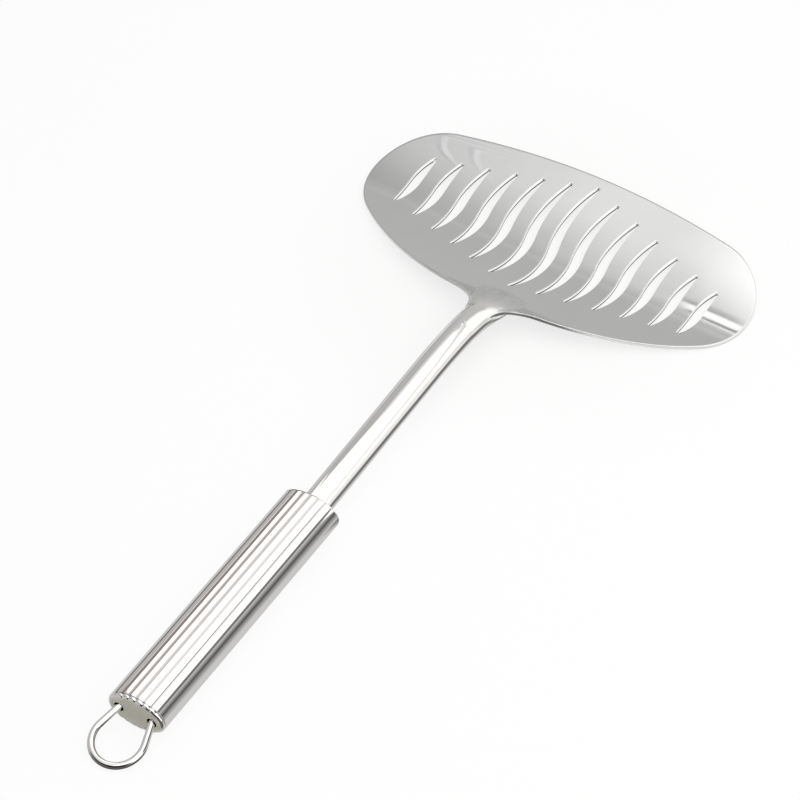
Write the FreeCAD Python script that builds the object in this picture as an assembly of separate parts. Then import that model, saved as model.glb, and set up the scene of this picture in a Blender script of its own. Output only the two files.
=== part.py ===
import FreeCAD, Part
import math
import os

# Wide fish spatula in stainless steel. The model is drawn with the handle lying along Y: blade towards +Y,
# hanging loop towards -Y, X to the right, Z up, and Y = 0 at the front end of the handle sleeve.
# At the end every piece is laid on the table, Z = 0, with the origin under the middle of the whole tool.
# All sizes are in millimetres and degrees.

# Blade: one sheet, pressed to a trough about an axis along X
SHEET = 1.5
DISH_RADIUS = 95.6
BLADE_WIDTH = 181.0
END_RADIUS = 30.0
FRONT_RADIUS = 400.0
REAR_RADIUS = 123.0
END_FORWARD = 8.8

# Drain slots: a row of S-curves, longest in the middle
SLOT_COUNT = 13
SLOT_MARGIN = 20.0
SLOT_LONGEST = 66.5
SLOT_SHORTER = 6.4
SLOT_WIDTH = 4.5
SLOT_CURVE = 45.0
SLOT_LEAN = 0.9
SLOT_TIP = 1.2
SLOT_ROW_FORWARD = 6.5
SLOT_ROW_TURN = -3.1

# Neck: the round of the shank bends down and dives into the sheet, whose root is bent level under it
NECK_BEND = 55.0
NECK_RISE = 1.0
NECK_DIVE = 3.0
NECK_NOSE = 13.5
NECK_FILLET = 16.0
ROOT_BEND = 25.0
ROOT_LENGTH = 11.8

# Shank: round tube with a slight rise and a long bend towards the blade
SHANK_DIAMETER = 11.9
SHANK_WALL = 1.2
SHANK_DROP = 1.4
SHANK_RISE = 2.2
SHANK_STRAIGHT = 84.0
BEND_RADIUS = 220.0
BEND_ANGLE = 7.0

# Handle sleeve: hollow oval, reeded on top and underneath
HANDLE_LENGTH = 119.0
HANDLE_WIDTH = 25.0
HANDLE_HEIGHT = 16.0
HANDLE_SIDE_RADIUS = 6.6
HANDLE_WALL = 1.0
REED_COUNT = 6
REED_DEPTH = 0.45

# Caps: pressed cups that close the sleeve. The end cap has a rounded rim outside it
CAP_PLATE = 1.2
CAP_WALL = 1.2
CAP_COLLAR = 4.0
CAP_FIT = 0.05
RIM_SEAM = 0.3
RIM_LAND = 0.2
RIM_NOSE = 1.1
RIM_DROP = 2.2
SPIGOT_LENGTH = 6.0
SPIGOT_FIT = 0.05

# Hanging loop: wire bow through two holes in the end cap
WIRE = 2.8
LOOP_RADIUS = 10.3
LOOP_REACH = 12.1
LOOP_REST = 0.1
HOLE_SPACING = 14.6
HOLE_DIAMETER = 4.2
HEAD_GROWTH = 0.4
HEAD_LENGTH = 1.0
LOOP_PLAY = 1.8

X = FreeCAD.Vector(1, 0, 0)
Y = FreeCAD.Vector(0, 1, 0)
Z = FreeCAD.Vector(0, 0, 1)
ORIGIN = FreeCAD.Vector(0, 0, 0)
LOFT_DEGREE = 3


def point(x, y, z):
    return FreeCAD.Vector(x, y, z)


def arc(a, b, c):
    """Circular edge from a through b to c."""
    return Part.Arc(a, b, c).toShape()


def disc(radius, centre, direction):
    """Round face square to a direction."""
    return Part.Face(Part.Wire(Part.makeCircle(radius, centre, direction)))


def prism(wire, low, high):
    """Solid between two heights over a flat outline drawn at Z = 0."""
    solid = Part.Face(wire).extrude(Z * (high - low))
    solid.translate(Z * low)
    return solid


# The shank's centre line, in the plane X = 0

def along(angle):
    """Unit vector in the plane X = 0 that climbs at an angle above Y."""
    a = math.radians(angle)
    return point(0, math.cos(a), math.sin(a))


def across(angle):
    """Unit vector square to along(angle), on its upper side."""
    return along(angle + 90)


SHANK_RADIUS = SHANK_DIAMETER / 2
SHANK_BORE = SHANK_RADIUS - SHANK_WALL
SHANK_START = point(0, 0, -SHANK_DROP)
BEND_START = SHANK_START + along(SHANK_RISE) * SHANK_STRAIGHT
BEND_CENTRE = BEND_START - across(SHANK_RISE) * BEND_RADIUS
SHANK_ANGLE = SHANK_RISE - BEND_ANGLE
SHANK_END = BEND_CENTRE + across(SHANK_ANGLE) * BEND_RADIUS


def shank_rod(radius):
    """Round bar along the shank's centre line, cut off square to Y at the handle."""
    behind = along(SHANK_RISE) * -SHANK_RADIUS
    straight = disc(radius, SHANK_START + behind, along(SHANK_RISE)).extrude(BEND_START - SHANK_START - behind)
    bend = disc(radius, BEND_START, along(SHANK_RISE)).revolve(BEND_CENTRE, X, -BEND_ANGLE)
    size = 4 * SHANK_DIAMETER
    handle = Part.makeBox(size, size, size, point(-size / 2, -size, -size / 2))
    return straight.fuse(bend).cut(handle)


def make_shank():
    return shank_rod(SHANK_RADIUS).cut(shank_rod(SHANK_BORE)).removeSplitter()


# Blade outline in plan, measured from the lowest line of the trough (the belly)

END_X = BLADE_WIDTH / 2 - END_RADIUS
FRONT_CENTRE = END_FORWARD - math.sqrt((FRONT_RADIUS - END_RADIUS) ** 2 - END_X ** 2)
REAR_CENTRE = END_FORWARD + math.sqrt((REAR_RADIUS - END_RADIUS) ** 2 - END_X ** 2)
SLOT_PITCH = (BLADE_WIDTH / 2 - SLOT_MARGIN) / (SLOT_COUNT // 2)
FILLET_X = SHANK_RADIUS + NECK_FILLET
FILLET_Y = REAR_CENTRE - math.sqrt((REAR_RADIUS + NECK_FILLET) ** 2 - FILLET_X ** 2)


def toward(a, b, distance):
    """Point at a distance from a on the ray to b."""
    return a + (b - a).normalize() * distance


def on_circle(centre, radius, a, b):
    """Point of a circle half way round between two of its points."""
    return toward(centre, (a + b) * 0.5, radius)


def mirrored(shapes):
    """Shapes with their mirror images across the plane X = 0."""
    return shapes + [s.mirror(ORIGIN, X) for s in shapes]


def blade_outline():
    """Boat shape of four tangent arcs, with fillets into the neck at the rear."""
    front, rear = point(0, FRONT_CENTRE, 0), point(0, REAR_CENTRE, 0)
    end, fillet = point(END_X, END_FORWARD, 0), point(FILLET_X, FILLET_Y, 0)
    tip = point(0, FRONT_CENTRE + FRONT_RADIUS, 0)
    front_end = toward(front, end, FRONT_RADIUS)
    rear_end = toward(rear, end, REAR_RADIUS)
    neck_out = toward(rear, fillet, REAR_RADIUS)
    neck_in = point(SHANK_RADIUS, FILLET_Y, 0)
    half = [
        arc(tip, on_circle(front, FRONT_RADIUS, tip, front_end), front_end),
        arc(front_end, end + X * END_RADIUS, rear_end),
        arc(rear_end, on_circle(rear, REAR_RADIUS, rear_end, neck_out), neck_out),
        arc(neck_out, on_circle(fillet, NECK_FILLET, neck_out, neck_in), neck_in),
        Part.makeLine(neck_in, point(0, FILLET_Y, 0)),
    ]
    return Part.Wire(Part.__sortEdges__(mirrored(half)))


def slot_outline(number):
    """S-shaped slot, counted from the middle one: two tips joined by two edges of two arcs each."""
    half = (SLOT_LONGEST - SLOT_SHORTER * abs(number)) / 2
    tip = point(SLOT_LEAN, half, 0)
    swing = half / (2 * SLOT_CURVE) - math.atan2(SLOT_LEAN, half)
    forward = point(-math.sin(swing), math.cos(swing), 0)
    side = point(math.cos(swing), math.sin(swing), 0)
    blunt = X * (SLOT_TIP / 2)

    def bowed(start, end, heading):
        """Arc that leaves start along a heading and ends at end."""
        chord = end - start
        turn = math.atan2(heading.x * chord.y - heading.y * chord.x, heading.dot(chord))
        sag = chord.Length / 2 * math.tan(turn / 2)
        return arc(start, start + chord * 0.5 + point(chord.y, -chord.x, 0).normalize() * sag, end)

    left, right = side * (-SLOT_WIDTH / 2), side * (SLOT_WIDTH / 2)
    edges = [
        bowed(left, tip - blunt, forward),
        arc(tip - blunt, tip + Y * (SLOT_TIP / 4), tip + blunt),
        bowed(right, tip + blunt, forward),
        bowed(right, blunt - tip, forward * -1),
        arc(blunt - tip, tip * -1 - Y * (SLOT_TIP / 4), tip * -1 - blunt),
        bowed(left, tip * -1 - blunt, forward * -1),
    ]
    return Part.Wire(Part.__sortEdges__(edges))


# Sections in the plane X = 0: the sheet's trough with its bent root, and the ridge of the neck over it

ROOT_ANGLE = math.degrees(math.asin((FILLET_Y + ROOT_LENGTH) / DISH_RADIUS))
RIDGE_ANGLE = ROOT_ANGLE - NECK_DIVE
RIDGE_CENTRE = SHANK_END + across(SHANK_ANGLE) * (SHANK_RADIUS - NECK_BEND)
RIDGE_END = RIDGE_CENTRE + across(RIDGE_ANGLE) * NECK_BEND
DISH_CENTRE = RIDGE_END + across(ROOT_ANGLE) * (DISH_RADIUS - NECK_RISE)
BELLY = DISH_CENTRE - Z * DISH_RADIUS


def on_dish(angle, depth):
    """Point under the trough's face, where the face slopes at an angle."""
    return DISH_CENTRE - across(angle) * (DISH_RADIUS + depth)


ROOT_CENTRE = on_dish(ROOT_ANGLE, ROOT_BEND)


def on_root(angle, depth):
    """Point under the face of the sheet's bent root, where the face slopes at an angle."""
    return ROOT_CENTRE + across(angle) * (ROOT_BEND - depth)


def oval_ring(top, angle, half_width, rise, fall):
    """Oval wire square to along(angle), widest a rise under its top and a fall above its bottom."""
    up = across(angle)
    steps = 12
    points = []
    for i in range(steps):
        turn = 2 * math.pi * i / steps
        height = rise if i < steps / 2 else fall
        points.append(top - up * rise + X * (half_width * math.cos(turn)) + up * (height * math.sin(turn)))
    curve = Part.BSplineCurve()
    curve.interpolate(points, PeriodicFlag=True)
    return Part.Wire(curve.toShape())


def make_neck():
    """Round of the shank that bends down, flattens underneath and sinks into the sheet as a low ridge."""
    r = SHANK_RADIUS

    def bent(share, half_width, rise, fall):
        angle = SHANK_ANGLE + (RIDGE_ANGLE - SHANK_ANGLE) * share
        return oval_ring(RIDGE_CENTRE + across(angle) * NECK_BEND, angle, half_width, rise, fall)

    def sunk(distance, half_width, rise, fall):
        return oval_ring(RIDGE_END + along(RIDGE_ANGLE) * distance, RIDGE_ANGLE, half_width, rise, fall)

    return Part.makeLoft([
        bent(0, r, r, r),
        bent(0.35, r * 1.02, r * 0.95, r),
        bent(0.7, r * 1.15, r * 0.78, r * 0.88),
        bent(1, r * 1.4, r * 0.48, r * 0.55),
        sunk(NECK_NOSE / 2, r * 1.3, SHEET * 0.9, SHEET * 0.8),
        sunk(NECK_NOSE, r, SHEET * 0.35, SHEET * 0.2),
    ], True, False, False, LOFT_DEGREE)


def make_blade():
    front = FRONT_CENTRE + FRONT_RADIUS + SHEET
    far = math.degrees(math.asin(front / DISH_RADIUS))
    middle = (SHANK_ANGLE + ROOT_ANGLE) / 2
    section = Part.Wire([
        arc(on_root(SHANK_ANGLE, 0), on_root(middle, 0), on_root(ROOT_ANGLE, 0)),
        arc(on_dish(ROOT_ANGLE, 0), on_dish(0, 0), on_dish(far, 0)),
        Part.makeLine(on_dish(far, 0), on_dish(far, SHEET)),
        arc(on_dish(far, SHEET), on_dish(0, SHEET), on_dish(ROOT_ANGLE, SHEET)),
        arc(on_root(ROOT_ANGLE, SHEET), on_root(middle, SHEET), on_root(SHANK_ANGLE, SHEET)),
        Part.makeLine(on_root(SHANK_ANGLE, SHEET), on_root(SHANK_ANGLE, 0)),
    ])
    sheet = Part.Face(section).extrude(X * BLADE_WIDTH)
    sheet.translate(X * (-BLADE_WIDTH / 2))
    low, high = -2 * SHEET, DISH_RADIUS / 2
    outline = prism(blade_outline(), low, high)
    outline.translate(BELLY)
    slots = []
    for i in range(SLOT_COUNT):
        number = i - SLOT_COUNT // 2
        slot = prism(slot_outline(number), low, high)
        slot.translate(X * (number * SLOT_PITCH))
        slot.rotate(ORIGIN, Z, SLOT_ROW_TURN)
        slot.translate(BELLY + Y * SLOT_ROW_FORWARD)
        slots.append(slot)
    return sheet.common(outline).cut(slots).fuse(make_neck()).removeSplitter()


# Handle: an oval of four tangent arcs, two flat (roof and floor) and two tight (the sides)

def roof_radius():
    w, h, r = HANDLE_WIDTH / 2, HANDLE_HEIGHT / 2, HANDLE_SIDE_RADIUS
    return ((w - r) ** 2 + h ** 2 - r ** 2) / (2 * (h - r))


ROOF_RADIUS = roof_radius()
SIDE_X = HANDLE_WIDTH / 2 - HANDLE_SIDE_RADIUS
ROOF_ANGLE = math.asin(SIDE_X / (ROOF_RADIUS - HANDLE_SIDE_RADIUS))


def roof_point(angle, inset, sign):
    """Point of the roof (sign 1) or floor (sign -1), at an angle from the middle."""
    r = ROOF_RADIUS - inset
    return point(r * math.sin(angle), 0, sign * (HANDLE_HEIGHT / 2 - ROOF_RADIUS + r * math.cos(angle)))


def oval(inset):
    """Plain oval, set in from the handle's surface."""
    side = HANDLE_WIDTH / 2 - inset
    a, b = roof_point(-ROOF_ANGLE, inset, 1), roof_point(ROOF_ANGLE, inset, 1)
    c, d = roof_point(ROOF_ANGLE, inset, -1), roof_point(-ROOF_ANGLE, inset, -1)
    return Part.Wire([
        arc(a, roof_point(0, inset, 1), b),
        arc(b, point(side, 0, 0), c),
        arc(c, roof_point(0, inset, -1), d),
        arc(d, point(-side, 0, 0), a),
    ])


def reeded_oval(inset, depth):
    """Oval with a row of rounded reeds on the roof and on the floor, and plain sides."""
    step = 2 * ROOF_ANGLE / REED_COUNT
    side = HANDLE_WIDTH / 2 - inset

    def reed(i, sign):
        start = -ROOF_ANGLE + i * step
        return arc(roof_point(start, inset + depth, sign),
                   roof_point(start + step / 2, inset, sign),
                   roof_point(start + step, inset + depth, sign))

    edges = [reed(i, sign) for sign in (1, -1) for i in range(REED_COUNT)]
    for s in (1, -1):
        edges.append(arc(roof_point(s * ROOF_ANGLE, inset + depth, 1), point(s * side, 0, 0),
                         roof_point(s * ROOF_ANGLE, inset + depth, -1)))
    return Part.Wire(Part.__sortEdges__(edges))


def moved(wire, y):
    wire.translate(Y * y)
    return wire


def slab(wire, y, length):
    """Solid of an outline in the plane Y = 0, from a place along Y over a signed length."""
    return Part.Face(moved(wire, y)).extrude(Y * length)


BORE_INSET = HANDLE_WALL + REED_DEPTH
COLLAR_INSET = BORE_INSET + CAP_FIT
CUP_INSET = COLLAR_INSET + CAP_WALL


def make_handle_sleeve():
    outer = slab(reeded_oval(0, REED_DEPTH), -HANDLE_LENGTH, HANDLE_LENGTH)
    return outer.cut(slab(oval(BORE_INSET), -HANDLE_LENGTH, HANDLE_LENGTH))


RIM_LENGTH = RIM_SEAM + RIM_LAND + RIM_NOSE


def make_end_cap():
    """Cup with a rounded rim outside the sleeve, a collar inside it and two holes in its plate."""
    lead = Part.makeLoft([moved(reeded_oval(RIM_SEAM, REED_DEPTH), 0),
                          moved(reeded_oval(0, REED_DEPTH), -RIM_SEAM)], True)
    land = slab(reeded_oval(0, REED_DEPTH), -RIM_SEAM, -RIM_LAND)
    rounds = []
    for turn in (0, 30, 60, 90):
        c, s = math.cos(math.radians(turn)), math.sin(math.radians(turn))
        place = -RIM_SEAM - RIM_LAND - RIM_NOSE * s
        rounds.append(moved(reeded_oval(RIM_DROP * (1 - c), REED_DEPTH * c), place))
    collar = slab(oval(COLLAR_INSET), 0, CAP_COLLAR)
    floor = CAP_PLATE - RIM_LENGTH
    cap = lead.fuse([land, Part.makeLoft(rounds, True, True), collar])
    cap = cap.cut(slab(oval(CUP_INSET), floor, CAP_COLLAR - floor))
    for s in (1, -1):
        start = point(s * HOLE_SPACING / 2, -2 * RIM_LENGTH, 0)
        cap = cap.cut(Part.makeCylinder(HOLE_DIAMETER / 2, 3 * RIM_LENGTH, start, Y))
    cap = cap.removeSplitter()
    cap.translate(Y * -HANDLE_LENGTH)
    return cap


def make_front_cap():
    """Cup inside the sleeve, flush with its end, with a spigot in the shank's bore."""
    cup = slab(oval(COLLAR_INSET), 0, -CAP_PLATE - CAP_COLLAR)
    cup = cup.cut(slab(oval(CUP_INSET), -CAP_PLATE, -CAP_COLLAR))
    spigot = disc(SHANK_BORE - SPIGOT_FIT, SHANK_START, along(SHANK_RISE)).extrude(along(SHANK_RISE) * SPIGOT_LENGTH)
    root = disc(SHANK_BORE - SPIGOT_FIT, SHANK_START, along(SHANK_RISE)).extrude(along(SHANK_RISE) * -CAP_PLATE)
    back = slab(oval(COLLAR_INSET), -CAP_PLATE, CAP_PLATE + SPIGOT_LENGTH + SHANK_RADIUS)
    return cup.fuse(spigot.fuse(root).common(back)).removeSplitter()


# The tool rests on the belly of the blade and on the lower rear rim of the handle

HEEL = point(0, -HANDLE_LENGTH, -HANDLE_HEIGHT / 2)


def table_angle():
    """Slope of the table in the drawing's frame: a line from the heel, tangent to the belly."""
    span = DISH_CENTRE - HEEL
    return math.degrees(math.atan2(span.z, span.y) - math.asin((DISH_RADIUS + SHEET) / span.Length))


# Loop: legs from the holes, tangent to a round bow, and heads upset on the wire's ends inside the cap

PIVOT = point(0, -HANDLE_LENGTH - RIM_LENGTH + CAP_PLATE / 2, 0)


def loop_droop():
    """Angle by which the bow hangs from the handle's axis until its end lies on the table."""
    height = (PIVOT - HEEL).dot(across(table_angle())) - WIRE / 2 - LOOP_REST
    return table_angle() + math.degrees(math.asin(height / (LOOP_REACH + LOOP_RADIUS)))


def make_hanging_loop():
    radius = WIRE / 2
    hole = point(HOLE_SPACING / 2, 0, 0)
    centre = point(0, -LOOP_REACH, 0)
    bearing = math.atan2(LOOP_REACH, hole.x) - math.acos(LOOP_RADIUS / (hole - centre).Length)
    touch = centre + point(math.cos(bearing), math.sin(bearing), 0) * LOOP_RADIUS
    leg = (hole - touch).normalize()
    inside = hole + leg * (CAP_PLATE / 2 + LOOP_PLAY)
    half = [
        disc(radius, touch, leg).extrude(inside - touch),
        disc((HOLE_DIAMETER + HEAD_GROWTH) / 2, inside, leg).extrude(leg * HEAD_LENGTH),
    ]
    bow = disc(radius, touch, leg).revolve(centre, Z * -1, 180 + 2 * math.degrees(bearing))
    loop = bow.fuse(mirrored(half)).removeSplitter()
    loop.rotate(ORIGIN, X, loop_droop())
    loop.translate(PIVOT)
    return loop


def main():
    parts = {
        "blade": make_blade(),
        "shank": make_shank(),
        "handle_sleeve": make_handle_sleeve(),
        "front_cap": make_front_cap(),
        "end_cap": make_end_cap(),
        "hanging_loop": make_hanging_loop(),
    }
    for shape in parts.values():
        shape.rotate(ORIGIN, X, -table_angle())
    box = Part.makeCompound(list(parts.values())).optimalBoundingBox()
    os.makedirs("parts", exist_ok=True)
    for name, shape in parts.items():
        shape.translate(point(0, -box.Center.y, -box.ZMin))
        shape.exportStep("parts/%s.step" % name)
        print(name, "solids", len(shape.Solids), "valid", shape.isValid(), "volume", round(shape.Volume))


main()
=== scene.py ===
import math

import bmesh
import bpy
from mathutils import Matrix, Vector


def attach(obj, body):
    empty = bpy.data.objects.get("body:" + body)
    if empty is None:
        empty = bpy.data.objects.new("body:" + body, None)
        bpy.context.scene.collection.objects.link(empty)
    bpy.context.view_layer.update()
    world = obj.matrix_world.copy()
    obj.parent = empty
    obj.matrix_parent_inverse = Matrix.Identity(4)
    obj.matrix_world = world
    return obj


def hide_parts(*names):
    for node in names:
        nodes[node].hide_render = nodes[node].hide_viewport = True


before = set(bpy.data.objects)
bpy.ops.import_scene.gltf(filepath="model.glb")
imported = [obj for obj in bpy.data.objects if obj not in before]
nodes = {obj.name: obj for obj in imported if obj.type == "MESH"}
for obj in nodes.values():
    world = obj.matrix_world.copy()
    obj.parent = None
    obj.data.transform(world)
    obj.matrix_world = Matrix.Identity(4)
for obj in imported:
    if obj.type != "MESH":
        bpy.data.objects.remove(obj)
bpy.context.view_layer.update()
scene = bpy.context.scene
scene.view_settings.view_transform = "Standard"

# Blade: a boat-shaped sheet of stainless steel, blanked with its row of slots and pressed to a shallow
# trough. It was buffed after pressing, which left it slightly wavy. Its neck is formed round the end of the
# shank.
MM = 0.001

# The tool's own frame has its origin in the front end of the handle; LAID puts it on the table.
LAID = Matrix.Translation((0, -41.107 * MM, 10.819 * MM)) @ Matrix.Rotation(math.radians(1.3587), 4, "X")
TROUGH_CENTRE, TROUGH_RADIUS = Vector((0, 181.199 * MM, 82.006 * MM)), 95.6 * MM
NECK_START, NECK_END = 84 * MM, 103 * MM
SLOT_ROW_CENTRE = Vector((0, 146.9 * MM, 0))
SLOT_ROW_HALF = Vector((80 * MM, 34.6 * MM))
WALL_FLATNESS, BURNISHED_DEPTH = 0.35, 0.75 * MM
DIE_ROLL, ROLLED_TOWARDS = 1.1 * MM, (0.9, -0.4, 0)
GRAIN_LENGTH, GRAIN_WIDTH = 30 * MM, 0.8 * MM
CLOUD_SIZE = 18 * MM
WAVE_LENGTH, WAVE_DEPTH = 38 * MM, 0.2 * MM
# Painted reflections: light and dark lines near the blade's left end, painted into its colour.
REFLECTED_LINE_TURN, REFLECTED_LINE_PITCH, REFLECTED_LINE_STRAY = 175.5 * MM, 17 * MM, 7 * MM
REFLECTED_LINE_BEND, REFLECTED_LINE_LEAN = -120.0, -10.0
DARK_REFLECTED_LINE_ASIDE = 3.4 * MM

# Settings that many nodes share.
EASED = {"interpolation_type": "SMOOTHSTEP"}
NOISE_RANGE = {"From Min": 0.3, "From Max": 0.7}
COLOURS = {"data_type": "RGBA"}
TIMES = {"operation": "MULTIPLY"}


def linear(hex_colour):
    """sRGB hex colour as a linear RGBA."""
    parts = [int(hex_colour[i:i + 2], 16) / 255 for i in (1, 3, 5)]
    return [c / 12.92 if c <= 0.04045 else ((c + 0.055) / 1.055) ** 2.4 for c in parts] + [1]


def add(tree, kind, settings=(), links=()):
    """Node of a kind, with properties or inputs set, and inputs linked from sockets or from other nodes."""
    node = tree.nodes.new(kind)
    for name, value in dict(settings).items():
        if name in node.bl_rna.properties.keys():
            setattr(node, name, value)
        else:
            node.inputs[name].default_value = value
    for name, source in dict(links).items():
        if isinstance(source, bpy.types.Node):
            source = next(socket for socket in source.outputs if socket.enabled)
        tree.links.new(source, node.inputs[name])
    return node


def new_material(name):
    """Material with an empty tree of nodes, and the tree."""
    material = bpy.data.materials.new(name)
    material.use_nodes = True
    material.node_tree.nodes.clear()
    return material, material.node_tree


def dress(piece, material):
    """Cover a piece with one material."""
    piece.data.materials.clear()
    piece.data.materials.append(material)


# Blade steel is buffed stainless: it mirrors the studio a little softly, with faint waves a few centimetres
# long and a fine grain from the wheel, drawn coarser here so that it shows. The slots' walls are bright where
# the punch burnished them, and torn and dull below, where they are also painted dark brown-grey as painted
# shade, the shade under the blade as the walls mirror it.
blade_steel, tree = new_material("buffed_blade_stainless")
place = add(tree, "ShaderNodeTexCoord")
here = place.outputs["Object"]
spot = add(tree, "ShaderNodeSeparateXYZ", {}, {0: here})
on_sheet = add(tree, "ShaderNodeMapRange", EASED | {"From Min": NECK_START, "From Max": NECK_END},
               {"Value": spot.outputs["Y"]})

# Walls of the slots, which stand upright within an oval, and their torn part below the burnished one, which
# is dull and painted dark as painted shade.
from_row = add(tree, "ShaderNodeVectorMath", {"operation": "SUBTRACT", 1: SLOT_ROW_CENTRE}, {0: here})
row_share = add(tree, "ShaderNodeVectorMath", TIMES | {1: (1 / SLOT_ROW_HALF.x, 1 / SLOT_ROW_HALF.y, 0)},
                {0: from_row})
row_reach = add(tree, "ShaderNodeVectorMath", {"operation": "LENGTH"}, {0: row_share})
in_row = add(tree, "ShaderNodeMath", {"operation": "LESS_THAN", 1: 1.0}, {0: row_reach})
off_row = add(tree, "ShaderNodeMath", {"operation": "GREATER_THAN", 1: 1.0}, {0: row_reach})
facing = add(tree, "ShaderNodeSeparateXYZ", {}, {0: place.outputs["Normal"]})
flatness = add(tree, "ShaderNodeMath", {"operation": "ABSOLUTE"}, {0: facing.outputs["Z"]})
upright = add(tree, "ShaderNodeMath", {"operation": "LESS_THAN", 1: WALL_FLATNESS}, {0: flatness})
wall = add(tree, "ShaderNodeMath", TIMES, {0: in_row, 1: upright})
from_axis = add(tree, "ShaderNodeVectorMath", {"operation": "SUBTRACT", 1: LAID @ TROUGH_CENTRE}, {0: here})
from_axis = add(tree, "ShaderNodeVectorMath", TIMES | {1: (0, 1, 1)}, {0: from_axis})
from_axis = add(tree, "ShaderNodeVectorMath", {"operation": "LENGTH"}, {0: from_axis})
below = add(tree, "ShaderNodeMath", {"operation": "GREATER_THAN", 1: TROUGH_RADIUS + BURNISHED_DEPTH},
            {0: from_axis})
torn_and_shaded = add(tree, "ShaderNodeMath", TIMES, {0: wall, 1: below})

# Sheen and tone of the sheet, which turn to those of the shank along the neck.
grain_stretch = (1 / GRAIN_LENGTH, 1 / GRAIN_WIDTH, 1 / GRAIN_WIDTH)
grain_place = add(tree, "ShaderNodeVectorMath", TIMES | {1: grain_stretch}, {0: here})
grain = add(tree, "ShaderNodeTexNoise", {"Scale": 1.0, "Detail": 3.0}, {"Vector": grain_place})
sheen = add(tree, "ShaderNodeMapRange", NOISE_RANGE | {"To Min": 0.07, "To Max": 0.105}, {"Value": grain})
buffed = add(tree, "ShaderNodeMix", {"A": 0.05}, {"Factor": on_sheet, "B": sheen})
roughness = add(tree, "ShaderNodeMix", {"B": 0.55}, {"Factor": torn_and_shaded, "A": buffed})
clouds = add(tree, "ShaderNodeTexNoise", {"Scale": 1 / CLOUD_SIZE, "Detail": 2.0}, {"Vector": here})
tone = add(tree, "ShaderNodeMix", COLOURS | {"A": linear("#D9D9D8"), "B": linear("#E0E0DF")},
           {"Factor": clouds})
tone = add(tree, "ShaderNodeMix", COLOURS | {"A": linear("#EDECE9")}, {"Factor": on_sheet, "B": tone})

# Painted reflections near the left end: light lines that curve up to the front edge, each with a darker
# painted line beside. They stand in for edges of the studio mirrored in the wavy sheet.
from_turn = add(tree, "ShaderNodeMath", {"operation": "SUBTRACT", 1: REFLECTED_LINE_TURN}, {0: spot.outputs["Y"]})
before = add(tree, "ShaderNodeMath", {"operation": "MINIMUM", 1: 0.0}, {0: from_turn})
before = add(tree, "ShaderNodeMath", TIMES, {0: before, 1: before})
after = add(tree, "ShaderNodeMath", {"operation": "MAXIMUM", 1: 0.0}, {0: from_turn})
drift = spot.outputs["X"]
for amount, source in ((REFLECTED_LINE_BEND, before), (REFLECTED_LINE_LEAN, after), (REFLECTED_LINE_STRAY, clouds)):
    drift = add(tree, "ShaderNodeMath", {"operation": "MULTIPLY_ADD", 1: amount}, {0: source, 2: drift})
leftward = add(tree, "ShaderNodeMapRange", EASED | {"From Min": -30 * MM, "From Max": -78 * MM},
               {"Value": spot.outputs["X"]})
forward = add(tree, "ShaderNodeMapRange", EASED | {"From Min": 160 * MM, "From Max": 171 * MM},
              {"Value": spot.outputs["Y"]})
from_end = add(tree, "ShaderNodeMapRange", {"From Min": -76 * MM, "From Max": -68 * MM, "To Max": 0.8},
               {"Value": spot.outputs["X"]})
for colour, aside, edge in (("#F4F4F6", 0, 0.55), ("#CACACE", DARK_REFLECTED_LINE_ASIDE, 0.7)):
    across = add(tree, "ShaderNodeMath", {"operation": "ADD", 1: aside}, {0: drift})
    phase = add(tree, "ShaderNodeMath", TIMES | {1: 2 * math.pi / REFLECTED_LINE_PITCH}, {0: across})
    crest = add(tree, "ShaderNodeMath", {"operation": "COSINE"}, {0: phase})
    painted_line = add(tree, "ShaderNodeMapRange", EASED | {"From Min": edge, "From Max": 1.0}, {"Value": crest})
    for fade in (leftward, forward, from_end):
        painted_line = add(tree, "ShaderNodeMath", TIMES, {0: painted_line, 1: fade})
    tone = add(tree, "ShaderNodeMix", COLOURS | {"B": linear(colour)}, {"Factor": painted_line, "A": tone})
tone = add(tree, "ShaderNodeMix", COLOURS | {"B": linear("#F6F6F4")}, {"Factor": wall, "A": tone})
# The torn part of the walls is painted dark brown-grey: painted shade, the shade under the blade as the walls
# mirror it.
tone = add(tree, "ShaderNodeMix", COLOURS | {"B": linear("#7A7067")}, {"Factor": torn_and_shaded, "A": tone})

# Edges that the die rolled over, all round the sheet and along one side of each slot, drawn wider to show.
bent = add(tree, "ShaderNodeBevel", {"samples": 8, "Radius": DIE_ROLL})
plain = add(tree, "ShaderNodeNewGeometry").outputs["Normal"]
tilt = add(tree, "ShaderNodeVectorMath", {"operation": "SUBTRACT"}, {0: bent, 1: plain})
tilt = add(tree, "ShaderNodeVectorMath", {"operation": "DOT_PRODUCT", 1: ROLLED_TOWARDS}, {0: tilt})
rolls = add(tree, "ShaderNodeMath", {"operation": "GREATER_THAN", 1: 0.0}, {0: tilt})
rolls = add(tree, "ShaderNodeMath", {"operation": "MAXIMUM"}, {0: rolls, 1: off_row})
rolls = add(tree, "ShaderNodeMath", TIMES, {0: rolls, 1: on_sheet})
rolled = add(tree, "ShaderNodeMix", {"data_type": "VECTOR"}, {"Factor": rolls, "A": plain, "B": bent})
waves = add(tree, "ShaderNodeTexNoise", {"Scale": 1 / WAVE_LENGTH, "Detail": 1.0}, {"Vector": here})
wavy = add(tree, "ShaderNodeBump", {"Distance": WAVE_DEPTH},
           {"Strength": on_sheet, "Height": waves, "Normal": rolled})
steel = add(tree, "ShaderNodeBsdfPrincipled", {"Metallic": 1},
            {"Base Color": tone, "Roughness": roughness, "Normal": wavy})
add(tree, "ShaderNodeOutputMaterial", {}, {"Surface": steel})
dress(nodes["blade"], blade_steel)

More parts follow.
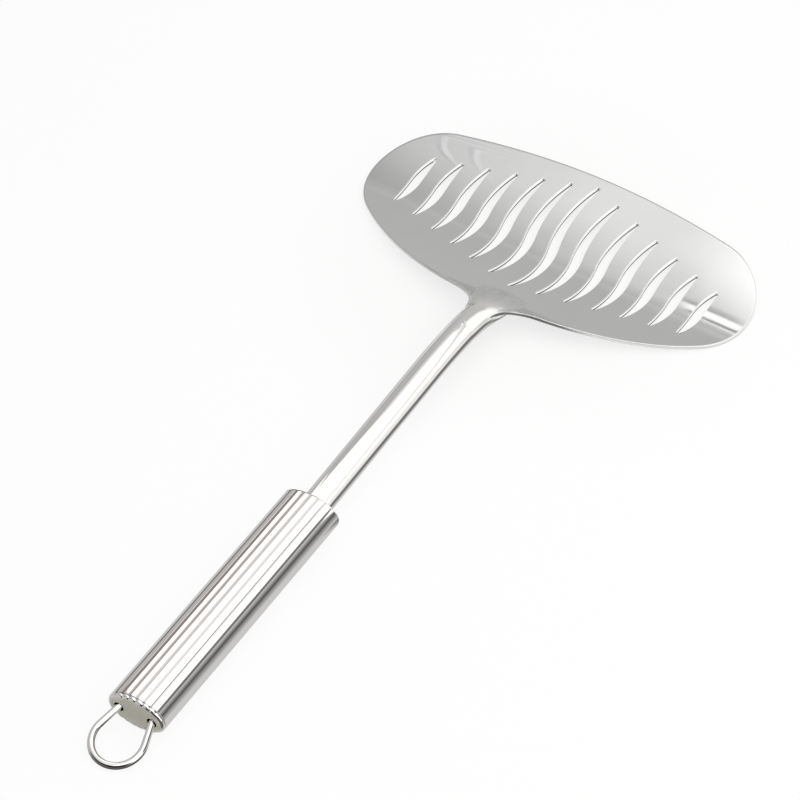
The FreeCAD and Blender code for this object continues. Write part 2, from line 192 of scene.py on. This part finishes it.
# Neck fairing: the round of the shank is dressed down into the sheet and polished by hand, so that it runs
# out in the trough without an edge. It is a thin pad of the blade's steel over the root of the sheet, sunk
# into it.
ROOT_CENTRE, ROOT_RADIUS = Vector((0, 123.136 * MM, -23.696 * MM)), 25 * MM
SHANK_SLOPE, ROOT_SLOPE = math.radians(4.8), math.radians(28.78)
ROOT_RUN = ROOT_RADIUS * (ROOT_SLOPE - SHANK_SLOPE)
FILLET_X, FILLET_Y, FILLET_RADIUS = 21.95 * MM, 123.37 * MM, 16 * MM
RUN_IN, RUN_OUT, FADE_OUT, RING_STEP = -1 * MM, 29 * MM, 12 * MM, 0.5 * MM
RIDGE_HEIGHT, RIDGE_RUN = 2.9 * MM, 11.5 * MM
START_SINK, START_RUN = 0.15 * MM, 5 * MM
CROWN_RADIUS, CROWN_RUN, CROWN_END = 7.3 * MM, 9.5 * MM, 16 * MM
HOLLOW, HOLLOW_RUN = 0.6 * MM, 6 * MM
START_HALF, SPREAD, MOST_HALF = 5.3 * MM, 0.4, 13 * MM
EDGE_INSET, SINK, UNDER = 0.15 * MM, 0.03 * MM, 0.6 * MM
WIDE, SIDE_FADE = 8 * MM, 3 * MM
HALF_POINTS = 30


def rings_mesh(name, rings, capped):
    """Closed skin over rings of (x, y, z, dulled) in the tool's own frame, with its ends capped or joined."""
    mesh = bpy.data.meshes.new(name)
    made = bmesh.new()
    dulled_layer = made.verts.layers.float.new("dulled")
    rows = []
    for ring in rings:
        row = []
        for x, y, z, dulled in ring:
            vert = made.verts.new(LAID @ Vector((x, y, z)))
            vert[dulled_layer] = dulled
            row.append(vert)
        rows.append(row)
    for a, b in zip(rows, rows[1:] + ([] if capped else rows[:1])):
        for k in range(len(a)):
            made.faces.new((a[k], b[k], b[k - 1], a[k - 1])).smooth = True
    if capped:
        made.faces.new(rows[0])
        made.faces.new(rows[-1][::-1])
    bmesh.ops.recalc_face_normals(made, faces=made.faces)
    made.to_mesh(mesh)
    made.free()
    piece = bpy.data.objects.new(name, mesh)
    scene.collection.objects.link(piece)
    return piece


def smooth(share):
    """Share kept between 0 and 1 and eased at both ends."""
    share = min(max(share, 0), 1)
    return share * share * (3 - 2 * share)


def fairing_ring(along):
    """Section of the fairing at a distance along the sheet's face from its root: a ridge that fades out."""
    if along < ROOT_RUN:
        slope = SHANK_SLOPE + along / ROOT_RADIUS
        up = Vector((0, math.sin(slope), math.cos(slope)))
        foot = ROOT_CENTRE + up * ROOT_RADIUS
    else:
        slope = ROOT_SLOPE - (along - ROOT_RUN) / TROUGH_RADIUS
        up = Vector((0, math.sin(slope), math.cos(slope)))
        foot = TROUGH_CENTRE - up * TROUGH_RADIUS
    half = min(START_HALF + SPREAD * max(along, 0), MOST_HALF)
    if abs(foot.y - FILLET_Y) < FILLET_RADIUS:
        sheet_half = FILLET_X - math.sqrt(FILLET_RADIUS ** 2 - (foot.y - FILLET_Y) ** 2)
        half = min(half, sheet_half - EDGE_INSET)
    height = RIDGE_HEIGHT * math.exp(-along / RIDGE_RUN) - START_SINK * (1 - smooth(along / START_RUN))
    crown = CROWN_RADIUS * math.exp(min(along, CROWN_END) / CROWN_RUN)
    hollow = HOLLOW * smooth(along / HOLLOW_RUN)
    top, bottom = [], []
    for k in range(-HALF_POINTS, HALF_POINTS + 1):
        x = half * k / HALF_POINTS
        drop = crown - math.sqrt(max(crown ** 2 - x * x, 0)) + max(abs(x) - crown, 0)
        stand = (height - drop + math.hypot(height - drop, hollow)) / 2
        fade = smooth((RUN_OUT - along) / FADE_OUT)
        if half > WIDE:
            fade *= smooth((half - abs(x)) / SIDE_FADE)
        top.append((x, *(foot + up * (stand * fade - SINK)).yz, fade * smooth(along / START_RUN)))
        bottom.append((x, *(foot - up * UNDER).yz, 0))
    return top + bottom[::-1]


ring_count = round((RUN_OUT - RUN_IN) / RING_STEP) + 1
fairing = rings_mesh("neck_fairing", [fairing_ring(RUN_IN + k * RING_STEP) for k in range(ring_count)], True)
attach(fairing, "tool")

# Neck steel is the blade's, left satin by the hand polishing, so that what it mirrors is soft. It has no
# rolled edges.
neck_steel = blade_steel.copy()
neck_steel.name = "dressed_neck_stainless"
tree = neck_steel.node_tree
tree.nodes["Bevel"].inputs["Radius"].default_value = 0
dulled = add(tree, "ShaderNodeAttribute", {"attribute_name": "dulled"})
satin = add(tree, "ShaderNodeMapRange", {"To Min": 0.18, "To Max": 0.32}, {"Value": dulled.outputs["Fac"]})
tree.links.new(satin.outputs[0], tree.nodes["Principled BSDF"].inputs["Roughness"])
dress(fairing, neck_steel)

# Shank and front cap: a drawn stainless tube, bent down to the blade, and the plug that holds it in the
# handle. They are welded together and mirror-polished.
TUBE_LINE_LENGTH = 60 * MM
LINE_WIDTH, LINE_DEPTH = 0.9 * MM, 0.003 * MM


def drawn_steel(name, line_length, tones, sheens):
    """Polished stainless with lines along it: material, tree, and the nodes of its tone, sheen and lines."""
    material, tree = new_material(name)
    stretch = (1 / LINE_WIDTH, 1 / line_length, 1 / LINE_WIDTH)
    line_place = add(tree, "ShaderNodeVectorMath", TIMES | {1: stretch},
                     {0: add(tree, "ShaderNodeTexCoord").outputs["Object"]})
    drawn = add(tree, "ShaderNodeTexNoise", {"Scale": 1.0, "Detail": 2.0}, {"Vector": line_place})
    tone = add(tree, "ShaderNodeMix", COLOURS | {"A": linear(tones[0]), "B": linear(tones[1])},
               {"Factor": drawn})
    sheen = add(tree, "ShaderNodeMapRange", NOISE_RANGE | {"To Min": sheens[0], "To Max": sheens[1]},
                {"Value": drawn})
    lines = add(tree, "ShaderNodeBump", {"Strength": 1.0, "Distance": LINE_DEPTH}, {"Height": drawn})
    return material, tree, tone, sheen, lines


# Tube steel is stainless polished to a mirror. Drawing leaves faint lines along it, a few tenths of a
# millimetre apart, drawn coarser here so that they show.
tube_steel, tree, tone, sheen, lines = drawn_steel("polished_stainless_tube", TUBE_LINE_LENGTH,
                                                   ("#EAE8E5", "#F0EFED"), (0.035, 0.07))
steel = add(tree, "ShaderNodeBsdfPrincipled", {"Metallic": 1},
            {"Base Color": tone, "Roughness": sheen, "Normal": lines})
add(tree, "ShaderNodeOutputMaterial", {}, {"Surface": steel})
dress(nodes["shank"], tube_steel)
dress(nodes["front_cap"], tube_steel)

# Handle sleeve: an oval stainless tube, rolled with reeds on top and underneath and mirror-polished. The
# reeds are nearly flat on top and part in narrow grooves; the tube's ends are slightly rounded.
LENGTH, HALF_WIDTH, HALF_HEIGHT, SIDE_RADIUS = 119 * MM, 12.5 * MM, 8 * MM, 6.6 * MM
WALL, END_ROUND = 1 * MM, 0.4 * MM
REEDS, REED_DEPTH, REED_FLATNESS, REED_ROW_HALF = 6, 0.22 * MM, 5, 9.4 * MM
ROOF_RADIUS = (((HALF_WIDTH - SIDE_RADIUS) ** 2 + HALF_HEIGHT ** 2 - SIDE_RADIUS ** 2)
               / (2 * (HALF_HEIGHT - SIDE_RADIUS)))
ROOF_CENTRE = HALF_HEIGHT - ROOF_RADIUS
ROOF_ANGLE = math.asin(REED_ROW_HALF / ROOF_RADIUS)
REED_POINTS, SIDE_POINTS, END_RINGS = 18, 28, 7
SLEEVE_LINE_LENGTH = 70 * MM


def reeded_section(inset, depth):
    """Points round the handle's section as (x, z, groove), set in from its surface, with reeds of a depth."""
    half = []
    for reed in range(REEDS):
        for k in range(REED_POINTS):
            share = 2 * k / REED_POINTS - 1
            across = math.copysign(1 - (1 - abs(share)) ** 2, share)
            groove = abs(across) ** REED_FLATNESS
            angle = ROOF_ANGLE * ((2 * reed + 1 + across) / REEDS - 1)
            radius = ROOF_RADIUS - inset - depth * groove
            half.append((radius * math.sin(angle), ROOF_CENTRE + radius * math.cos(angle), groove))
    radius = ROOF_RADIUS - inset - depth
    x, z = radius * math.sin(ROOF_ANGLE), ROOF_CENTRE + radius * math.cos(ROOF_ANGLE)
    reach = HALF_WIDTH - inset
    side_centre = (x * x + z * z - reach * reach) / (2 * (x - reach))
    side_radius = reach - side_centre
    turn = math.atan2(z, x - side_centre)
    for k in range(SIDE_POINTS):
        angle = turn * (1 - 2 * k / SIDE_POINTS)
        groove = 1 if k == 0 else 0
        half.append((side_centre + side_radius * math.cos(angle), side_radius * math.sin(angle), groove))
    return half + [(-x, -z, groove) for x, z, groove in half]


def sleeve_ring(inset, depth, y, soot_and_shade=0):
    """Ring of the sleeve at a place along it; only a reeded ring holds soot and painted shade."""
    return [(x, y, z, max(groove, soot_and_shade) * (depth > 0)) for x, z, groove in reeded_section(inset, depth)]


turns = [math.radians(90 * k / (END_RINGS - 1)) for k in range(END_RINGS)]
rounding = [(END_ROUND * (1 - math.sin(turn)), END_ROUND * (1 - math.cos(turn))) for turn in turns]
# The front end's rounding is darkened all round: painted shade at the joint with the front cap.
front = [sleeve_ring(inset, REED_DEPTH, -setback, 1) for inset, setback in rounding]
shoulders = [sleeve_ring(0, REED_DEPTH, y) for y in (-2 * END_ROUND, 2 * END_ROUND - LENGTH)]
back = [sleeve_ring(inset, REED_DEPTH, setback - LENGTH) for inset, setback in rounding[::-1]]
bore = [sleeve_ring(WALL + REED_DEPTH, 0, y) for y in (-LENGTH, END_ROUND - LENGTH, -END_ROUND, 0)]
sleeve = rings_mesh("reeded_sleeve", front + shoulders + back + bore, False)
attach(sleeve, "tool")
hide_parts("handle_sleeve")

# Sleeve steel is polished as the tube's, a little paler. A brown-grey darkening is painted in the grooves and
# on
# the rounded front end: in the grooves partly polishing soot and partly painted shade, on the front end
# painted shade at the joint with the front cap. It is weaker towards the right.
sleeve_steel, tree, tone, sheen, lines = drawn_steel("polished_reeded_stainless", SLEEVE_LINE_LENGTH,
                                                     ("#F0EEEC", "#F6F5F3"), (0.04, 0.08))
groove = add(tree, "ShaderNodeAttribute", {"attribute_name": "dulled"})
soot_and_shade = add(tree, "ShaderNodeMapRange", EASED | {"From Max": 0.18}, {"Value": groove.outputs["Fac"]})
spot = add(tree, "ShaderNodeSeparateXYZ", {}, {0: add(tree, "ShaderNodeTexCoord").outputs["Object"]})
weaker_to_right = add(tree, "ShaderNodeMapRange",
             {"From Min": -7 * MM, "From Max": 5 * MM, "To Min": 1.0, "To Max": 0.25},
             {"Value": spot.outputs["X"]})
soot_and_shade = add(tree, "ShaderNodeMath", TIMES, {0: soot_and_shade, 1: weaker_to_right})
# The brown-grey is partly soot in the grooves and partly painted shade, in the grooves and at the front end.
tone = add(tree, "ShaderNodeMix", COLOURS | {"B": linear("#857973")}, {"Factor": soot_and_shade, "A": tone})
roughness = add(tree, "ShaderNodeMix", {"B": 0.4}, {"Factor": soot_and_shade, "A": sheen})
steel = add(tree, "ShaderNodeBsdfPrincipled", {"Metallic": 1},
            {"Base Color": tone, "Roughness": roughness, "Normal": lines})
add(tree, "ShaderNodeOutputMaterial", {}, {"Surface": steel})
dress(sleeve, sleeve_steel)

# End cap: pressed from stainless and bonded into the sleeve. Its reeded rim is polished with the sleeve; the
# flat face with the two wire holes is left as it came from the press.
PRESS_GRAIN, RIM_ROUND = 0.5 * MM, 0.3 * MM
FACE_START, FACE_FULL = 0.965, 0.995

# Cap steel is stainless: a mirror on the rim, and on the face a yellowish grey, nearly matt, with a fine
# grain that is drawn half a millimetre coarse so that it shows.
cap_steel, tree = new_material("pressed_cap_stainless")
place = add(tree, "ShaderNodeTexCoord")
rearward = LAID.to_3x3() @ Vector((0, -1, 0))
square = add(tree, "ShaderNodeVectorMath", {"operation": "DOT_PRODUCT", 1: rearward},
             {0: place.outputs["Normal"]})
flat = add(tree, "ShaderNodeMapRange", EASED | {"From Min": FACE_START, "From Max": FACE_FULL},
           {"Value": square})
grain = add(tree, "ShaderNodeTexNoise", {"Scale": 1 / PRESS_GRAIN, "Detail": 3.0},
            {"Vector": place.outputs["Object"]})
matt_tone = add(tree, "ShaderNodeMix", COLOURS | {"A": linear("#DDDACC"), "B": linear("#E9E6D8")},
                {"Factor": grain})
tone = add(tree, "ShaderNodeMix", COLOURS | {"A": linear("#EFEEEC")}, {"Factor": flat, "B": matt_tone})
matt_sheen = add(tree, "ShaderNodeMapRange", {"To Min": 0.38, "To Max": 0.52}, {"Value": grain})
roughness = add(tree, "ShaderNodeMix", {"A": 0.06}, {"Factor": flat, "B": matt_sheen})
bare = add(tree, "ShaderNodeMapRange", {"To Min": 1.0, "To Max": 0.15}, {"Value": flat})
rounded = add(tree, "ShaderNodeBevel", {"samples": 8, "Radius": RIM_ROUND})
steel = add(tree, "ShaderNodeBsdfPrincipled", {},
            {"Base Color": tone, "Metallic": bare, "Roughness": roughness, "Normal": rounded})
add(tree, "ShaderNodeOutputMaterial", {}, {"Surface": steel})
dress(nodes["end_cap"], cap_steel)

# Hanging loop: a bow of hard stainless wire, bright from the drawing die. Its ends pass through the holes in
# the cap and are upset inside, so that it swings but stays in.
SCUFF_SIZE = 1.5 * MM

# Wire steel is drawn stainless, a clean mirror with small duller scuffs from hooks.
wire_steel, tree = new_material("bright_stainless_wire")
scuff = add(tree, "ShaderNodeTexNoise", {"Scale": 1 / SCUFF_SIZE, "Detail": 3.0},
            {"Vector": add(tree, "ShaderNodeTexCoord").outputs["Object"]})
tone = add(tree, "ShaderNodeMix", COLOURS | {"A": linear("#ECE9E6"), "B": linear("#F2F0EE")},
           {"Factor": scuff})
sheen = add(tree, "ShaderNodeMapRange", {"From Min": 0.35, "From Max": 0.7, "To Min": 0.04, "To Max": 0.09},
            {"Value": scuff})
steel = add(tree, "ShaderNodeBsdfPrincipled", {"Metallic": 1}, {"Base Color": tone, "Roughness": sheen})
add(tree, "ShaderNodeOutputMaterial", {}, {"Surface": steel})
dress(nodes["hanging_loop"], wire_steel)

# Table: a sheet of pale paper under the tool, which shows white and keeps the tool's soft shadow. The steel
# mirrors it as a glow of painted greys that only the steel sees: painted shade on the right of the shank,
# even painted grey beside the handle, dark in the eye of the loop, white under the blade and grey again far
# in front.
TABLE_SIZE = 4
SHANK_SIDE = [(x * MM, level) for x, level in ((-100, 0.56), (-12, 0.56), (-4, 0.75), (9, 0.66), (13, 0.5),
                                               (17, 0.1), (31, 0.16), (44, 1.0))]
HANDLE_SIDE, BLADE_SIDE, FAR_SIDE = 0.6, 1, 0.57
BLADE_PLACE = (0, 135 * MM, 0)
STEEL_SHARE = 0.9


def grey(level):
    """Grey of a linear level as an RGBA."""
    return (level, level, level, 1)


def graded(tree, along, stops):
    """Grey that goes from level to level along a line, with stops of (place, level)."""
    start, end = stops[0][0], stops[-1][0]
    share = add(tree, "ShaderNodeMapRange", {"From Min": start, "From Max": end}, {"Value": along})
    ramp = add(tree, "ShaderNodeValToRGB", {}, {0: share})
    first, last = ramp.color_ramp.elements
    first.color, last.color = grey(stops[0][1]), grey(stops[-1][1])
    for place, level in stops[1:-1]:
        ramp.color_ramp.elements.new((place - start) / (end - start)).color = grey(level)
    return ramp


bpy.ops.mesh.primitive_plane_add(size=TABLE_SIZE)
table = bpy.context.object
table.name = "table"
table_paper, tree = new_material("white_paper")
here = add(tree, "ShaderNodeTexCoord").outputs["Object"]
spot = add(tree, "ShaderNodeSeparateXYZ", {}, {0: here})
by_loop, by_handle, by_blade, far = [
    add(tree, "ShaderNodeMapRange", {"From Min": start * MM, "From Max": full * MM},
        {"Value": spot.outputs["Y"]})
    for start, full in ((-163, -168), (-30, -40), (95, 115), (200, 250))]
by_handle = add(tree, "ShaderNodeMath", {"operation": "SUBTRACT"}, {0: by_handle, 1: by_loop})
in_eye = add(tree, "ShaderNodeMapRange",
             {"From Min": -16 * MM, "From Max": -9 * MM, "To Min": 0.56, "To Max": 0.03},
             {"Value": spot.outputs["X"]})
mirrored = graded(tree, spot.outputs["X"], SHANK_SIDE)
for share, settings, links in (
    (by_handle, {"B": grey(HANDLE_SIDE)}, {}),
    (by_loop, {}, {"B": in_eye}),
    (by_blade, {"B": grey(BLADE_SIDE)}, {}),
    (far, {"B": grey(FAR_SIDE)}, {}),
):
    mirrored = add(tree, "ShaderNodeMix", COLOURS | settings, {"Factor": share, "A": mirrored} | links)
from_blade = add(tree, "ShaderNodeVectorMath", {"operation": "DISTANCE", 1: BLADE_PLACE}, {0: here})
lifted = add(tree, "ShaderNodeMapRange",
             EASED | {"From Min": 50 * MM, "From Max": 130 * MM, "To Min": 0.72, "To Max": 0.9},
             {"Value": from_blade})
path = add(tree, "ShaderNodeLightPath")
camera_share = add(tree, "ShaderNodeMath", TIMES, {0: path.outputs["Is Camera Ray"], 1: lifted})
steel_share = add(tree, "ShaderNodeMath", TIMES | {1: STEEL_SHARE}, {0: path.outputs["Is Glossy Ray"]})
paper = add(tree, "ShaderNodeBsdfPrincipled", {"Base Color": linear("#F2F2F0"), "Roughness": 0.9})
white = add(tree, "ShaderNodeEmission")
shown = add(tree, "ShaderNodeMixShader", {}, {0: camera_share, 1: paper, 2: white})
# The steel sees the table as a glow of these painted greys: painted shade and light, not the paper's own
# lighting.
in_steel = add(tree, "ShaderNodeEmission", {}, {"Color": mirrored})
shown = add(tree, "ShaderNodeMixShader", {}, {0: steel_share, 1: shown, 2: in_steel})
add(tree, "ShaderNodeOutputMaterial", {}, {"Surface": shown})
dress(table, table_paper)

# Light box: a sheet of white diffuser cloth that hangs over the tool and lights it. It is brighter to the
# right and fades to the grey of the room at its far edge.
BOX_PLACE, BOX_HALF = (0.1, 0, 0.6), (1.1, 0.7, 1)
BOX_LEVELS = ((-0.42, 0.6), (-0.31, 0.8), (-0.28, 0.87), (-0.23, 0.96), (-0.19, 1.05), (-0.15, 1.02),
              (-0.12, 1.26), (-0.09, 1.55))
ROOM_LEVEL = 0.59
bpy.ops.mesh.primitive_plane_add(size=2, location=BOX_PLACE)
box = bpy.context.object
box.name = "light_box"
box.scale = BOX_HALF
box_cloth, tree = new_material("white_diffuser_cloth")
spot = add(tree, "ShaderNodeSeparateXYZ", {}, {0: add(tree, "ShaderNodeNewGeometry").outputs["Position"]})
level = graded(tree, spot.outputs["X"], BOX_LEVELS)
fall = add(tree, "ShaderNodeMapRange", {"From Min": 0.25, "From Max": 0.5, "To Min": 1.0, "To Max": 0.82},
           {"Value": spot.outputs["Y"]})
level = add(tree, "ShaderNodeMath", TIMES, {0: level, 1: fall})
edge = add(tree, "ShaderNodeMapRange", EASED | {"From Min": 0.55, "From Max": 0.72},
           {"Value": spot.outputs["Y"]})
level = add(tree, "ShaderNodeMix", {"B": ROOM_LEVEL}, {"Factor": edge, "A": level})
glow = add(tree, "ShaderNodeEmission", {}, {"Strength": level})
add(tree, "ShaderNodeOutputMaterial", {}, {"Surface": glow})
dress(box, box_cloth)
box.visible_camera = False

# Cards: flat boards round the tool that only the steel mirrors. Two white reflectors brighten the handle and
# the shank, two flags darken the handle's right side, and four battens give the bands of light and dark in
# the blade's right end.
FLAG_X, FLAG_Y, FLAG_HALF = 0.04, -0.094, 0.075
BATTEN_X, BATTEN_Z, BATTEN_HALF = -0.036, 0.3, 0.018


def card(name, centre, half_a, half_b, low, high):
    """Card with two half sides, from a low to a high level along its second side."""
    mesh = bpy.data.meshes.new(name)
    centre, half_a, half_b = Vector(centre), Vector(half_a), Vector(half_b)
    corners = [centre + half_a * a + half_b * b for a, b in ((-1, -1), (1, -1), (1, 1), (-1, 1))]
    mesh.from_pydata(corners, [], [(0, 1, 2, 3)])
    board, tree = new_material(name)
    rise = add(tree, "ShaderNodeVectorMath", {"operation": "DOT_PRODUCT", 1: half_b},
               {0: add(tree, "ShaderNodeTexCoord").outputs["Object"]})
    ends = {"From Min": (centre - half_b).dot(half_b), "From Max": (centre + half_b).dot(half_b)}
    level = add(tree, "ShaderNodeMapRange", ends | {"To Min": low, "To Max": high}, {"Value": rise})
    glow = add(tree, "ShaderNodeEmission", {}, {"Strength": level})
    add(tree, "ShaderNodeOutputMaterial", {}, {"Surface": glow})
    piece = bpy.data.objects.new(name, mesh)
    dress(piece, board)
    scene.collection.objects.link(piece)
    piece.visible_camera = piece.visible_diffuse = piece.visible_shadow = False


card("left_reflector", (-0.08, -0.042, 0.18), (0, 0.068, 0), (0, 0, 0.128), 1.25, 1.25)
card("top_reflector", (-0.085, 0.003, 0.2), (0.115, 0, 0), (0, 0.122, 0), 1.2, 1.2)
for name, z, half, low, high in (
    ("dark_flag", 0.040, 0.016, 0.07, 0.7),
    ("grey_flag", 0.012, 0.012, 0.6, 0.1),
):
    card(name, (FLAG_X, FLAG_Y, z), (0, FLAG_HALF, 0), (0, 0, half), low, high)
for name, y, half, low, high in (
    ("grey_batten", 0.330, 0.011, 0.85, 0.25),
    ("white_batten", 0.3535, 0.0125, 1.6, 1.6),
    ("dark_batten", 0.3725, 0.0065, 0.03, 0.12),
    ("white_edge", 0.383, 0.004, 1.6, 1.6),
):
    card(name, (BATTEN_X, y, BATTEN_Z), (BATTEN_HALF, 0, 0), (0, half, 0), low, high)

# Room: a grey studio round the table, a little brighter overhead and darker on the left, with a white wall on
# the right and a dark one behind the camera.
ROOM_SIDES = (
    ((0, 0, 1), 0.64, 0.72, 0.8),
    ((-1, 0, 0.1), 0.4, 0.8, 0.5),
    ((0.9, 0.45, 0.35), 0.45, 0.7, 1.2),
    ((-0.1, -1, 0.4), 0.52, 0.70, 0.03),
)
world = bpy.data.worlds.new("studio")
scene.world = world
world.use_nodes = True
tree = world.node_tree
sight = add(tree, "ShaderNodeTexCoord").outputs["Generated"]
light = None
for towards, start, full, level in ROOM_SIDES:
    side = add(tree, "ShaderNodeVectorMath", {"operation": "DOT_PRODUCT", 1: Vector(towards).normalized()},
               {0: sight})
    share = add(tree, "ShaderNodeMapRange", EASED | {"From Min": start, "From Max": full}, {"Value": side})
    light = add(tree, "ShaderNodeMix", COLOURS | {"A": grey(ROOM_LEVEL), "B": grey(level)},
                {"Factor": share} | ({"A": light} if light else {}))
tree.links.new(light.outputs["Result"], tree.nodes["Background"].inputs["Color"])

# Camera: a long lens, high over the right side of the handle and looking down to its left. It is placed in
# the tool's own frame.
CAMERA_PLACE = (0.5320, -0.7958, 1.0578)
CAMERA_TURN, CAMERA_DIP = math.radians(31.726), math.radians(46.198)
lens = bpy.data.cameras.new("camera")
lens.sensor_width = 36
lens.lens = 165.73
lens.clip_end = 20
camera = bpy.data.objects.new("camera", lens)
scene.collection.objects.link(camera)
camera.matrix_world = (
    LAID
    @ Matrix.Translation(CAMERA_PLACE)
    @ Matrix.Rotation(CAMERA_TURN, 4, "Z")
    @ Matrix.Rotation(math.pi / 2 - CAMERA_DIP, 4, "X")
)
scene.camera = camera
